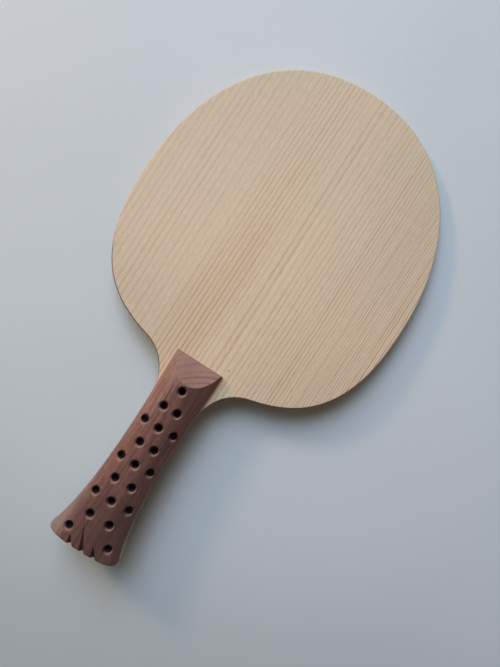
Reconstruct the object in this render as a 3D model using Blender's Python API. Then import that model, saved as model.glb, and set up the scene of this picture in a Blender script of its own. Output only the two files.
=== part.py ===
# Table tennis blade without its rubber sheets.
# Five glued plies form the head and run down as the tongue of the handle. Two equal walnut slabs,
# crowned, flared, drilled through, notched at the butt and bevelled at the head end, close over it.
# Metres, +Z up. X runs across the blade, Y from the butt to the tip of the head, and Z through it.
# The origin is half way along the overall length, on the mid-plane.

import math

import bmesh
import bpy
from mathutils import Matrix, Vector
from mathutils.geometry import interpolate_bezier

# Head, seen from the front
HEAD_WIDTH = 0.150
HEAD_LENGTH = 0.157            # from the tip to the head end of the slabs
TIP_TO_WIDEST = 0.0908
TIP_ROUNDNESS = 0.0486         # length of the curve handle across the tip
UPPER_FULLNESS = 0.0518        # length of the curve handle above the widest place
LOWER_FULLNESS = 0.0464        # length of the curve handle below the widest place
SHOULDER_REACH = 0.0279        # length of the curve handle out from the neck
SHOULDER_ANGLE = math.radians(14.0)
NECK_RADIUS = 0.0233
NECK_DEPTH = 0.0252            # how far below the slabs' head end the neck runs into the handle

# Plies, from the face inwards, and the line of glue between two pieces
FACE_THICKNESS = 0.0006
CROSS_THICKNESS = 0.0005
CORE_THICKNESS = 0.0026
GLUE_LINE = 0.0003

# Handle, seen from the front
HANDLE_LENGTH = 0.1051
HANDLE_TOP_WIDTH = 0.0263
WAIST_WIDTH = 0.0248
WAIST_FROM_TOP = 0.038
TAPER_EASE = 0.4               # part of the taper's length that each of its curve handles takes
BUTT_WIDTH = 0.0396            # where the two sides would meet the butt, were it not rounded
FLARE_ANGLE = math.radians(21.0)
FLARE_START = 0.025            # length of the curve handle below the waist
FLARE_END = 0.017              # length of the curve handle above the butt
CORNER_RADIUS = 0.0016

# Slabs
SLAB_THICKNESS = 0.0082
SLAB_INSET = 0.0003            # how far the tongue stands proud of a slab's side
CROWN_FULLNESS_TOP = 2.0       # power of the crown's section: 2 is a half ellipse, more is squarer
CROWN_FULLNESS_BUTT = 2.6
SLAB_END_HEIGHT = 0.0031       # square part of the head end, below the bevel
BEVEL_ANGLE = math.radians(23.0)
BUTT_EDGE_RADIUS = 0.0010

# Holes, drilled square to the blade in a quincunx that follows the flare. The rows are evenly spaced,
# and each number is where a row's outer holes sit, as a part of the slab's half width at that row.
HOLE_DIAMETER = 0.0038
COUNTERSINK_DIAMETER = 0.0056
FIRST_ROW_FROM_TOP = 0.0152
LAST_ROW_FROM_BUTT = 0.0079
ROW_SPREADS = (0.0, 0.30, 0.66, 0.325, 0.65, 0.355, 0.67, 0.355, 0.63)
ROWS_WITH_MIDDLE = (0, 2, 4, 6)

# Notches, filed into the butt at a slant: place across the butt, length and depth of each
NOTCHES = ((-0.0059, 0.0050, 0.0026), (0.0011, 0.0108, 0.0036), (0.0073, 0.0056, 0.0028))
NOTCH_SLANT = math.radians(23.0)
NOTCH_HALF_ANGLE = math.radians(27.0)

# Fineness
CURVE_POINTS = 12
SIDE_POINTS = 7
ARC_POINTS = 5
CROWN_SEGMENTS = 14
HOLE_SEGMENTS = 12
SHARP_ANGLE = math.radians(35.0)
MERGE_DISTANCE = 0.00001

# Worked out from the sizes above
STACK_THICKNESS = 2 * FACE_THICKNESS + 2 * CROSS_THICKNESS + CORE_THICKNESS + 4 * GLUE_LINE
FACE_HEIGHT = STACK_THICKNESS / 2
SLAB_BASE = FACE_HEIGHT + GLUE_LINE
SLAB_TOP = SLAB_BASE + SLAB_THICKNESS
HANDLE_TOP_Y = (HANDLE_LENGTH - HEAD_LENGTH) / 2
BUTT_Y = HANDLE_TOP_Y - HANDLE_LENGTH
TIP_Y = HANDLE_TOP_Y + HEAD_LENGTH
WIDEST_Y = TIP_Y - TIP_TO_WIDEST
ROW_PITCH = (HANDLE_LENGTH - FIRST_ROW_FROM_TOP - LAST_ROW_FROM_BUTT) / (len(ROW_SPREADS) - 1)
CUT_MARGIN = 0.001             # how far a cutter stands out of what it cuts


def clear_scene():
    for item in list(bpy.data.objects):
        bpy.data.objects.remove(item, do_unlink=True)


def wood(name, colour, roughness):
    material = bpy.data.materials.new(name)
    material.use_nodes = True
    shader = material.node_tree.nodes["Principled BSDF"]
    shader.inputs["Base Color"].default_value = (*colour, 1.0)
    shader.inputs["Roughness"].default_value = roughness
    shader.inputs["Metallic"].default_value = 0.0
    return material


def bezier(start, start_handle, end_handle, end, count):
    corners = [Vector((x, y, 0.0)) for x, y in (start, start_handle, end_handle, end)]
    return [(point.x, point.y) for point in interpolate_bezier(*corners, count)]


def handle_side():
    """Right side of the handle as (x, y), from the head end of the slabs down to the butt."""
    top = HANDLE_TOP_WIDTH / 2
    waist = WAIST_WIDTH / 2
    butt = BUTT_WIDTH / 2
    waist_y = HANDLE_TOP_Y - WAIST_FROM_TOP
    ease = WAIST_FROM_TOP * TAPER_EASE
    taper = bezier((top, HANDLE_TOP_Y), (top, HANDLE_TOP_Y - ease), (waist, waist_y + ease), (waist, waist_y),
                   SIDE_POINTS)
    lean = (math.sin(FLARE_ANGLE) * FLARE_END, math.cos(FLARE_ANGLE) * FLARE_END)
    flare = bezier((waist, waist_y), (waist, waist_y - FLARE_START),
                   (butt - lean[0], BUTT_Y + lean[1]), (butt, BUTT_Y), 2 * SIDE_POINTS)
    # The round corner touches the flare and the butt
    centre_y = BUTT_Y + CORNER_RADIUS
    centre_x = butt - CORNER_RADIUS * (math.tan(FLARE_ANGLE) + 1.0 / math.cos(FLARE_ANGLE))
    touch_y = centre_y + CORNER_RADIUS * math.sin(FLARE_ANGLE)
    corner = []
    for step in range(ARC_POINTS + 1):
        angle = FLARE_ANGLE - (FLARE_ANGLE + math.pi / 2) * step / ARC_POINTS
        corner.append((centre_x + CORNER_RADIUS * math.cos(angle), centre_y + CORNER_RADIUS * math.sin(angle)))
    kept = [point for point in flare[1:] if point[1] > touch_y + CORNER_RADIUS / ARC_POINTS]
    return taper + kept + corner


def width_at(side, y):
    """Half width of the handle at y, read between the points of its side."""
    for upper, lower in zip(side, side[1:]):
        if lower[1] <= y <= upper[1]:
            share = (upper[1] - y) / (upper[1] - lower[1])
            return upper[0] + (lower[0] - upper[0]) * share
    return side[-1][0]


def blade_outline(side):
    """Right half of a ply as (x, y): tip, widest place, shoulder, neck, then the handle's side."""
    half = HEAD_WIDTH / 2
    neck_y = HANDLE_TOP_Y - NECK_DEPTH
    neck_x = width_at(side, neck_y)
    centre_x = neck_x + NECK_RADIUS
    upper = bezier((0.0, TIP_Y), (TIP_ROUNDNESS, TIP_Y),
                   (half, WIDEST_Y + UPPER_FULLNESS), (half, WIDEST_Y), CURVE_POINTS)
    shoulder = (centre_x - NECK_RADIUS * math.sin(SHOULDER_ANGLE), neck_y + NECK_RADIUS * math.cos(SHOULDER_ANGLE))
    reach = (shoulder[0] + SHOULDER_REACH * math.cos(SHOULDER_ANGLE),
             shoulder[1] + SHOULDER_REACH * math.sin(SHOULDER_ANGLE))
    lower = bezier((half, WIDEST_Y), (half, WIDEST_Y - LOWER_FULLNESS), reach, shoulder, CURVE_POINTS)
    neck = []
    sweep = math.pi / 2 - SHOULDER_ANGLE
    for step in range(1, ARC_POINTS + 2):
        angle = math.pi / 2 + SHOULDER_ANGLE + sweep * step / (ARC_POINTS + 1)
        neck.append((centre_x + NECK_RADIUS * math.cos(angle), neck_y + NECK_RADIUS * math.sin(angle)))
    handle = [point for point in side if point[1] < neck_y - CUT_MARGIN]
    return upper + lower[1:] + neck + handle


def new_object(name, mesh, material=None):
    item = bpy.data.objects.new(name, mesh)
    bpy.context.scene.collection.objects.link(item)
    if material:
        mesh.materials.append(material)
    return item


def mesh_from(name, build):
    """A mesh made by build(bm), with its faces turned outwards."""
    bm = bmesh.new()
    build(bm)
    bmesh.ops.recalc_face_normals(bm, faces=bm.faces[:])
    mesh = bpy.data.meshes.new(name)
    bm.to_mesh(mesh)
    bm.free()
    return mesh


def as_cutter(item):
    item.hide_render = True
    item.display_type = "WIRE"
    return item


def cut(item, cutter):
    modifier = item.modifiers.new("cut by " + cutter.name, "BOOLEAN")
    modifier.operation = "DIFFERENCE"
    modifier.solver = "EXACT"
    modifier.object = cutter


def add_ply(name, outline, bottom, thickness, material, drill):
    def build(bm):
        rows = []
        for x, y in outline:
            ends = (0.0,) if x == 0.0 else (-x, x)
            rows.append([bm.verts.new((end, y, bottom)) for end in ends])
        for upper, lower in zip(rows, rows[1:]):
            bm.faces.new(lower + upper[::-1])
        grown = bmesh.ops.extrude_face_region(bm, geom=bm.faces[:])
        raised = [part for part in grown["geom"] if isinstance(part, bmesh.types.BMVert)]
        bmesh.ops.translate(bm, verts=raised, vec=(0.0, 0.0, thickness))
    ply = new_object(name, mesh_from(name, build), material)
    cut(ply, drill)
    return ply


def crown_power(y):
    """Power of the crown's section at y. It grows evenly from the head end to the butt."""
    share = (HANDLE_TOP_Y - y) / HANDLE_LENGTH
    return CROWN_FULLNESS_TOP + (CROWN_FULLNESS_BUTT - CROWN_FULLNESS_TOP) * share


def crown_at(x, y, half_width):
    """Height of a slab's crown above its base, and its slope across the handle."""
    power = crown_power(y)
    share = abs(x) / half_width
    left = 1.0 - share ** power
    height = SLAB_THICKNESS * left ** (1.0 / power)
    slope = SLAB_THICKNESS / half_width * share ** (power - 1.0) * left ** (1.0 / power - 1.0)
    return height, -math.copysign(slope, x)


def slab_mesh(side):
    def build(bm):
        rings = []
        for outer, y in side:
            half_width = outer - SLAB_INSET
            inside = max(0.0, BUTT_EDGE_RADIUS - (y - BUTT_Y))
            drop = BUTT_EDGE_RADIUS - math.sqrt(max(0.0, BUTT_EDGE_RADIUS ** 2 - inside ** 2))
            share = 2.0 / crown_power(y)
            ring = []
            for step in range(CROWN_SEGMENTS + 1):
                angle = math.pi * step / CROWN_SEGMENTS
                across = math.copysign(abs(math.cos(angle)) ** share, math.cos(angle))
                rise = (SLAB_THICKNESS - drop) * abs(math.sin(angle)) ** share
                ring.append(bm.verts.new((half_width * across, y, SLAB_BASE + rise)))
            rings.append(ring)
        for upper, lower in zip(rings, rings[1:]):
            for step in range(-1, CROWN_SEGMENTS):
                bm.faces.new((upper[step], upper[step + 1], lower[step + 1], lower[step]))
        bm.faces.new(rings[0])
        bm.faces.new(rings[-1])
    return mesh_from("handle_slab", build)


def hole_places(side):
    """Centre of each hole as (x, y), with the slab's half width there."""
    places = []
    for row, spread in enumerate(ROW_SPREADS):
        y = HANDLE_TOP_Y - FIRST_ROW_FROM_TOP - row * ROW_PITCH
        half_width = width_at(side, y) - SLAB_INSET
        if row in ROWS_WITH_MIDDLE:
            places.append((0.0, y, half_width))
        if spread:
            places.extend(((-spread * half_width, y, half_width), (spread * half_width, y, half_width)))
    return places


def drill_mesh(places):
    def build(bm):
        for x, y, _ in places:
            bmesh.ops.create_cone(bm, cap_ends=True, segments=HOLE_SEGMENTS,
                                  radius1=HOLE_DIAMETER / 2, radius2=HOLE_DIAMETER / 2,
                                  depth=2 * (SLAB_TOP + CUT_MARGIN), matrix=Matrix.Translation((x, y, 0.0)))
    return mesh_from("drill", build)


def countersink_mesh(places):
    """Right-angled cones set square to the crown, so that every rim is even."""
    def build(bm):
        reach = COUNTERSINK_DIAMETER / 2
        depth = reach + CUT_MARGIN
        rise = Matrix.Translation((0.0, 0.0, CUT_MARGIN - depth / 2))
        for x, y, half_width in places:
            height, slope = crown_at(x, y, half_width)
            tilt = Matrix.Rotation(-math.atan(slope), 4, "Y")
            seat = Matrix.Translation((x, y, SLAB_BASE + height))
            bmesh.ops.create_cone(bm, cap_ends=True, segments=HOLE_SEGMENTS, radius1=0.0, radius2=depth,
                                  depth=depth, matrix=seat @ tilt @ rise)
        bmesh.ops.remove_doubles(bm, verts=bm.verts[:], dist=MERGE_DISTANCE)
    return mesh_from("countersink", build)


def notch_mesh():
    """V wedges whose keel slopes down from the crown to the butt."""
    def build(bm):
        for place, length, depth in NOTCHES:
            keel = Vector((math.sin(NOTCH_SLANT), -math.cos(NOTCH_SLANT), -depth / length))
            across = Vector((math.cos(NOTCH_SLANT), math.sin(NOTCH_SLANT), 0.0))
            start = Vector((place - math.tan(NOTCH_SLANT) * length, BUTT_Y + length, SLAB_TOP))
            ends = []
            for travel in (-CUT_MARGIN, length / math.cos(NOTCH_SLANT) + CUT_MARGIN):
                low = start + keel * travel
                rise = SLAB_TOP + CUT_MARGIN - low.z
                spread = across * rise * math.tan(NOTCH_HALF_ANGLE)
                high = Vector((low.x, low.y, low.z + rise))
                ends.append([bm.verts.new(point) for point in (low, high + spread, high - spread)])
            first, last = ends
            bm.faces.new(first)
            bm.faces.new(last)
            for corner in range(3):
                bm.faces.new((first[corner - 1], first[corner], last[corner], last[corner - 1]))
    return mesh_from("notch", build)


def bevel_mesh():
    """Wedge that takes the head end of a slab down from its crown to its square end."""
    def build(bm):
        run = (SLAB_THICKNESS - SLAB_END_HEIGHT + CUT_MARGIN) / math.tan(BEVEL_ANGLE)
        foot = SLAB_BASE + SLAB_END_HEIGHT - CUT_MARGIN * math.tan(BEVEL_ANGLE)
        profile = ((HANDLE_TOP_Y + CUT_MARGIN, foot),
                   (HANDLE_TOP_Y + CUT_MARGIN, SLAB_TOP + CUT_MARGIN),
                   (HANDLE_TOP_Y - run, SLAB_TOP + CUT_MARGIN))
        reach = HANDLE_TOP_WIDTH / 2 + CUT_MARGIN
        ends = [[bm.verts.new((x, y, z)) for y, z in profile] for x in (-reach, reach)]
        bm.faces.new(ends[0])
        bm.faces.new(ends[1])
        for corner in range(3):
            bm.faces.new((ends[0][corner - 1], ends[0][corner], ends[1][corner], ends[1][corner - 1]))
    return mesh_from("bevel", build)


def add_slab(name, mesh, cutter_meshes, material, turn):
    """A slab with its own cutters. The rear one is the front one turned over about the long axis."""
    slab = new_object(name, mesh)
    slab.rotation_euler = (0.0, turn, 0.0)
    if not mesh.materials:
        mesh.materials.append(material)
    for cutter_mesh in cutter_meshes:
        cutter = as_cutter(new_object(name + "_" + cutter_mesh.name, cutter_mesh))
        cutter.rotation_euler = (0.0, turn, 0.0)
        cut(slab, cutter)
    return slab


def main():
    clear_scene()
    softwood = wood("softwood_face", (0.56, 0.42, 0.29), 0.55)
    crossband = wood("crossband", (0.47, 0.31, 0.17), 0.6)
    core_wood = wood("core_wood", (0.62, 0.50, 0.34), 0.6)
    walnut = wood("walnut", (0.17, 0.085, 0.055), 0.5)

    side = handle_side()
    outline = blade_outline(side)
    places = hole_places(side)
    drill = drill_mesh(places)
    through_drill = as_cutter(new_object("through_drill", drill))

    plies = (("rear_face_veneer", FACE_THICKNESS, softwood),
             ("rear_cross_veneer", CROSS_THICKNESS, crossband),
             ("core_ply", CORE_THICKNESS, core_wood),
             ("front_cross_veneer", CROSS_THICKNESS, crossband),
             ("front_face_veneer", FACE_THICKNESS, softwood))
    height = -FACE_HEIGHT
    for name, thickness, material in plies:
        add_ply(name, outline, height, thickness, material, through_drill)
        height += thickness + GLUE_LINE

    cutters = (bevel_mesh(), notch_mesh(), drill, countersink_mesh(places))
    slab = slab_mesh(side)
    slab.shade_smooth()
    slab.set_sharp_from_angle(angle=SHARP_ANGLE)
    add_slab("front_handle_slab", slab, cutters, walnut, 0.0)
    add_slab("rear_handle_slab", slab, cutters, walnut, math.pi)


main()
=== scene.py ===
import math

import bmesh
import bpy
from mathutils import Euler, Matrix, Vector
from mathutils.geometry import interpolate_bezier


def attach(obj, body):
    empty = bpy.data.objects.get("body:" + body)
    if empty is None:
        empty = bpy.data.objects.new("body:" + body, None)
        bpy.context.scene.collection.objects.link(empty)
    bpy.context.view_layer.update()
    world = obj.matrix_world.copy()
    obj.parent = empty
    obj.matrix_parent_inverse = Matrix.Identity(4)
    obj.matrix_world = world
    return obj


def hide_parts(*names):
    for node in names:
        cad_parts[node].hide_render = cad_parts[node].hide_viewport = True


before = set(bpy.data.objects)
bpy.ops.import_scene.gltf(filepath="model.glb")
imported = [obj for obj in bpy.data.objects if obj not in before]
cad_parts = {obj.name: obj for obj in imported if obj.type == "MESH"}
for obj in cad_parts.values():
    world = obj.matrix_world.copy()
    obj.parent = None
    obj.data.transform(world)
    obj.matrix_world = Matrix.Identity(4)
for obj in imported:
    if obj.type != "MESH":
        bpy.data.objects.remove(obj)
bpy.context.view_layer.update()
print("frame loaded:", sorted(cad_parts))

# Bare table tennis blade lying on the rear half of its handle and on the tip of its head.
# X runs across the blade, Y from the butt to the tip, Z out of the face that shows.

# Outline that every ply shares, with the side of the handle
blade = {
    "headWidth": 0.150,
    "headLength": 0.157,
    "tipToWidest": 0.0908,
    "tipRoundness": 0.0486,
    "upperFullness": 0.0518,
    "lowerFullness": 0.0464,
    "shoulderReach": 0.0279,
    "shoulderAngle": math.radians(14.0),
    "neckRadius": 0.0233,
    "neckDepth": 0.0252,
    "joinGap": 0.0006,             # left out between the neck's arc and the side of the handle
    "handleLength": 0.1051,
    "handleTopWidth": 0.0263,
    "waistWidth": 0.0248,
    "waistFromTop": 0.038,
    "taperEase": 0.4,
    "buttWidth": 0.0396,
    "flareAngle": math.radians(21.0),
    "flareStart": 0.025,
    "flareEnd": 0.017,
    "cornerRadius": 0.0016,
    "taperPoints": 26,
    "flarePoints": 64,
    "cornerSteps": 14,
    "headPoints": 48,
    "neckSteps": 24,
}
handleTopY = (blade["handleLength"] - blade["headLength"]) / 2
buttY = handleTopY - blade["handleLength"]
tipY = handleTopY + blade["headLength"]


def bezierPoints(start, startHandle, endHandle, end, count):
    corners = [Vector((x, y, 0.0)) for x, y in (start, startHandle, endHandle, end)]
    return [(point.x, point.y) for point in interpolate_bezier(*corners, count)]


def arcPoints(centreX, centreY, radius, start, end, steps):
    turns = [start + (end - start) * step / steps for step in range(steps + 1)]
    return [(centreX + radius * math.cos(turn), centreY + radius * math.sin(turn)) for turn in turns]


def circlePoints(radius, count):
    return arcPoints(0.0, 0.0, radius, 0.0, 2 * math.pi, count)[:-1]


def bothSides(right, shared=0):
    # a closed loop, anticlockwise from the top left, with this many points on the middle line
    return [(-x, y) for x, y in right[shared:]] + right[::-1]


def handleSide():
    # right side of the tongue, from the head end of the slabs down to the butt
    top = blade["handleTopWidth"] / 2
    waist = blade["waistWidth"] / 2
    butt = blade["buttWidth"] / 2
    waistY = handleTopY - blade["waistFromTop"]
    ease = blade["waistFromTop"] * blade["taperEase"]
    taper = bezierPoints((top, handleTopY), (top, handleTopY - ease),
                         (waist, waistY + ease), (waist, waistY), blade["taperPoints"])
    angle = blade["flareAngle"]
    lean = (math.sin(angle) * blade["flareEnd"], math.cos(angle) * blade["flareEnd"])
    flare = bezierPoints((waist, waistY), (waist, waistY - blade["flareStart"]),
                         (butt - lean[0], buttY + lean[1]), (butt, buttY), blade["flarePoints"])
    radius = blade["cornerRadius"]
    centreX = butt - radius * (math.tan(angle) + 1.0 / math.cos(angle))
    corner = arcPoints(centreX, buttY + radius, radius, angle, -math.pi / 2, blade["cornerSteps"])
    kept = [point for point in flare[1:] if point[1] > corner[0][1] + radius / 5]
    return taper + kept + corner


def widthAt(side, y):
    for upper, lower in zip(side, side[1:]):
        if lower[1] <= y <= upper[1]:
            share = (upper[1] - y) / (upper[1] - lower[1])
            return upper[0] + (lower[0] - upper[0]) * share
    return side[-1][0]


def bladeHalf(side):
    # right half of a ply: tip, widest place, shoulder, neck, then the side of the handle
    half = blade["headWidth"] / 2
    widestY = tipY - blade["tipToWidest"]
    angle = blade["shoulderAngle"]
    radius = blade["neckRadius"]
    neckY = handleTopY - blade["neckDepth"]
    centreX = widthAt(side, neckY) + radius
    upper = bezierPoints((0.0, tipY), (blade["tipRoundness"], tipY),
                         (half, widestY + blade["upperFullness"]), (half, widestY), blade["headPoints"])
    neck = arcPoints(centreX, neckY, radius, math.pi / 2 + angle, math.pi, blade["neckSteps"])
    shoulder = neck[0]
    reach = (shoulder[0] + blade["shoulderReach"] * math.cos(angle),
             shoulder[1] + blade["shoulderReach"] * math.sin(angle))
    lower = bezierPoints((half, widestY), (half, widestY - blade["lowerFullness"]),
                         reach, shoulder, blade["headPoints"])
    handle = [point for point in side if point[1] < neckY - blade["joinGap"]]
    return upper + lower[1:] + neck[1:] + handle


def smoothShare(value, low, high):
    share = min(1.0, max(0.0, (value - low) / (high - low)))
    return share * share * (3.0 - 2.0 * share)


side = handleSide()
outline = bothSides(bladeHalf(side), 1)
outward = []
for index in range(len(outline)):
    along = (Vector(outline[(index + 1) % len(outline)]) - Vector(outline[index - 1])).normalized()
    outward.append(Vector((along.y, -along.x)))
print("outline:", len(outline), "points")


def addPiece(name, build, *given):
    bm = bmesh.new()
    build(bm, *given)
    bmesh.ops.recalc_face_normals(bm, faces=bm.faces[:])
    mesh = bpy.data.meshes.new(name)
    bm.to_mesh(mesh)
    bm.free()
    piece = bpy.data.objects.new(name, mesh)
    bpy.context.scene.collection.objects.link(piece)
    return piece


def skin(bm, loops, openStart=False):
    # faces between neighbouring loops of corners, and lids on the first and the last
    rings = [[bm.verts.new(corner) for corner in loop] for loop in loops]
    for first, second in zip(rings, rings[1:]):
        for step in range(len(first)):
            bm.faces.new((first[step - 1], first[step], second[step], second[step - 1]))
    if not openStart:
        bm.faces.new(rings[0])
    bm.faces.new(rings[-1])


def cutAway(piece, cutters, smoothAngle):
    # takes the cutters out of the piece for good and shades what is left
    for cutter in cutters:
        modifier = piece.modifiers.new(cutter.name, "BOOLEAN")
        modifier.operation = "DIFFERENCE"
        modifier.solver = "EXACT"
        modifier.object = cutter
    bpy.context.view_layer.update()
    finished = bpy.data.meshes.new_from_object(piece.evaluated_get(bpy.context.evaluated_depsgraph_get()))
    piece.modifiers.clear()
    piece.data = finished
    finished.shade_smooth()
    finished.set_sharp_from_angle(angle=math.radians(smoothAngle))


# Handle slabs: crowned, bevelled at the head end, drilled, countersunk and notched
slab = {
    "base": 0.0033,
    "visibleBase": 0.00306,        # closes most of the glue line
    "thickness": 0.0082,
    "inset": 0.00018,
    "offset": -0.0001,             # both slabs sit a little to the left on the tongue
    "fullnessTop": 2.0,
    "fullnessButt": 2.6,
    "endHeight": 0.0031,
    "bevelAngle": math.radians(23.0),
    "buttEdge": 0.0010,
    "segments": 64,
    "smoothAngle": 17.0,
    "cutMargin": 0.001,            # how far the wedges reach past the slab
}
holes = {
    "diameter": 0.0038,
    "countersink": 0.0055,
    # section of the countersink: its foot, then places beside its edge and their heights over the crown
    "foot": (0.0011, -0.0020),
    "edge": ((-0.00020, -0.00026), (-0.00004, -0.00012), (0.00014, -0.00004), (0.0005, 0.00004), (0.0016, 0.0012)),
    "lip": 0.0029,                 # how far from a hole's axis its countersink can reach
    "lipDepth": 0.00012,
    "wallMargin": 0.00005,
    "wallTilt": 0.2,
    "drillMargin": 0.002,
    "shift": 0.0005,               # the whole pattern sits a little to the right
    "firstRow": 0.0155,
    "lastRow": 0.0075,
    "spreads": (0.0, 0.30, 0.66, 0.325, 0.65, 0.355, 0.67, 0.355, 0.63),
    "rowsWithMiddle": (0, 2, 4, 6),
    "segments": 36,
}
notches = {
    # place, length, depth half way along, depth at the butt
    "cuts": ((-0.0054, 0.0058, 0.0017, 0.0034), (0.0014, 0.0148, 0.0009, 0.0031), (0.0077, 0.0063, 0.0017, 0.0035)),
    "slant": math.radians(25.0),
    "halfAngle": math.radians(27.0),
}
slabTop = slab["base"] + slab["thickness"]


def crownPower(y):
    share = (handleTopY - y) / blade["handleLength"]
    return slab["fullnessTop"] + (slab["fullnessButt"] - slab["fullnessTop"]) * share


def crownAt(x, y, halfWidth):
    power = crownPower(y)
    across = abs(x) / halfWidth
    left = 1.0 - across ** power
    height = slab["thickness"] * left ** (1.0 / power)
    slope = slab["thickness"] / halfWidth * across ** (power - 1.0) * left ** (1.0 / power - 1.0)
    return height, -math.copysign(slope, x)


def holePlaces(shift):
    # each hole's place and half the slab's width beside it
    places = []
    pitch = (blade["handleLength"] - holes["firstRow"] - holes["lastRow"]) / (len(holes["spreads"]) - 1)
    for row, spread in enumerate(holes["spreads"]):
        y = handleTopY - holes["firstRow"] - row * pitch
        halfWidth = widthAt(side, y) - slab["inset"]
        if row in holes["rowsWithMiddle"]:
            places.append((shift, y, halfWidth))
        if spread:
            places.extend((shift + way * spread * halfWidth, y, halfWidth) for way in (-1, 1))
    return places


def turnedSolid(bm, matrix, profile):
    # closed solid turned from (radius, height) pairs
    skin(bm, [[matrix @ Vector((x, y, height)) for x, y in circlePoints(radius, holes["segments"])]
              for radius, height in profile])


def drill(bm, places):
    reach = slabTop + holes["drillMargin"]
    radius = holes["diameter"] / 2
    for x, y, halfWidth in places:
        turnedSolid(bm, Matrix.Translation((x, y, 0.0)), ((radius, -reach), (radius, reach)))


def countersink(bm, places):
    # a cone with a softly worn lip, square to the crown
    reach = holes["countersink"] / 2
    profile = [holes["foot"]] + [(reach + out, height) for out, height in holes["edge"]]
    for x, y, halfWidth in places:
        height, slope = crownAt(x, y, halfWidth)
        seat = Matrix.Translation((x, y, slab["base"] + height))
        turnedSolid(bm, seat @ Matrix.Rotation(-math.atan(slope), 4, "Y"), profile)


def notchWedges(bm):
    slant = notches["slant"]
    across = Vector((math.cos(slant), math.sin(slant), 0.0))
    toButt = Vector((math.sin(slant), -math.cos(slant), 0.0)) / math.cos(slant)
    for place, length, halfDepth, depth in notches["cuts"]:
        start = Vector((place - math.tan(slant) * length, buttY + length, slabTop))
        past = slab["cutMargin"] / length
        keel = ((-past, -2.0 * halfDepth * past), (0.5, halfDepth),
                (1.0 + past, depth + 2.0 * (depth - halfDepth) * past))
        sections = []
        for share, sunk in keel:
            low = start + toButt * length * share - Vector((0.0, 0.0, sunk))
            rise = slabTop + slab["cutMargin"] - low.z
            high = low + Vector((0.0, 0.0, rise))
            spread = across * rise * math.tan(notches["halfAngle"])
            sections.append((low, high + spread, high - spread))
        skin(bm, sections)


def bevelWedge(bm):
    slope = math.tan(slab["bevelAngle"])
    margin = slab["cutMargin"]
    run = (slab["thickness"] - slab["endHeight"] + margin) / slope
    foot = slab["base"] + slab["endHeight"] - margin * slope
    top = slabTop + margin
    profile = ((handleTopY + margin, foot), (handleTopY + margin, top), (handleTopY - run, top))
    reach = blade["handleTopWidth"] / 2 + margin
    skin(bm, [[(x, y, z) for y, z in profile] for x in (-reach, reach)])


def crownedBar(bm):
    rings = []
    for outer, y in side:
        halfWidth = outer - slab["inset"]
        inside = max(0.0, slab["buttEdge"] - (y - buttY))
        drop = slab["buttEdge"] - math.sqrt(max(0.0, slab["buttEdge"] ** 2 - inside ** 2))
        share = 2.0 / crownPower(y)
        ring = []
        for step in range(slab["segments"] + 1):
            turn = math.pi * step / slab["segments"]
            across = math.copysign(abs(math.cos(turn)) ** share, math.cos(turn))
            rise = (slab["thickness"] - drop) * abs(math.sin(turn)) ** share
            ring.append((halfWidth * across, y, slab["base"] + rise))
        ring.extend((x, y, slab["visibleBase"]) for x in (-halfWidth, halfWidth))
        rings.append(ring)
    skin(bm, rings)


def markCuts(mesh, places):
    # 1 on the drilled walls, a half on the countersinks, 0 elsewhere
    mark = mesh.attributes.new("cut", "FLOAT", "FACE")
    for face in mesh.polygons:
        centre = face.center
        x, y, halfWidth = min(places, key=lambda place: math.hypot(centre.x - place[0], centre.y - place[1]))
        away = math.hypot(centre.x - x, centre.y - y)
        if away > holes["lip"]:
            continue
        depth = slab["base"] + crownAt(centre.x, centre.y, halfWidth)[0] - centre.z
        if away < holes["diameter"] / 2 + holes["wallMargin"] and abs(face.normal.z) < holes["wallTilt"]:
            mark.data[face.index].value = 1.0
        elif depth > holes["lipDepth"]:
            mark.data[face.index].value = 0.5


notchCutter = addPiece("notchCutter", notchWedges)
bevelCutter = addPiece("bevelCutter", bevelWedge)
slabs = []
holeCutters = []
for turned in (False, True):
    # the rear slab is the front one turned over, its holes where the drill comes through
    places = holePlaces(-holes["shift"] if turned else holes["shift"])
    holeCutters.extend((addPiece("drillCutter", drill, places), addPiece("countersinkCutter", countersink, places)))
    piece = addPiece("rearSlab" if turned else "frontSlab", crownedBar)
    cutAway(piece, [bevelCutter, notchCutter] + holeCutters[-2:], slab["smoothAngle"])
    markCuts(piece.data, places)
    piece.data.transform(Matrix.Translation((-slab["offset"] if turned else slab["offset"], 0.0, 0.0)))
    if turned:
        piece.data.transform(Matrix.Rotation(math.pi, 4, "Y"))
    slabs.append(piece)
frontSlab, rearSlab = slabs
drillCutter = holeCutters[0]
print("slabs:", len(frontSlab.data.polygons), "faces each")


# Plies: flat sheets whose rim is sanded round along the head
plies = {
    "faceLevels": (0.0023, 0.0030),
    "crossLevels": (0.0015, 0.0022),
    "coreLevels": (-0.0014, 0.0014),
    "rimRadius": 0.0007,
    "handleRimRadius": 0.00015,
    "rimEase": (-0.020, -0.006),   # from the head end of the slabs, where one radius becomes the other
    "rimSteps": 7,
    "levelMargin": 0.00003,
    "flatMargin": 0.00025,         # keeps the shading of the round rim off the flat face
    "glueInset": 0.00005,
    "seatInset": 0.0004,
    "seatOverlap": 0.00002,        # how far the slabs' seats reach into both neighbours
    "smoothAngle": 40.0,
}
stackTop = plies["faceLevels"][1]


def rimInset(z, y):
    # how far the sanded rim draws in at this height
    easeLow, easeHigh = plies["rimEase"]
    share = smoothShare(y, handleTopY + easeLow, handleTopY + easeHigh)
    radius = plies["handleRimRadius"] + (plies["rimRadius"] - plies["handleRimRadius"]) * share
    above = max(0.0, abs(z) - (stackTop - radius))
    return radius - math.sqrt(max(0.0, radius ** 2 - above ** 2))


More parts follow.
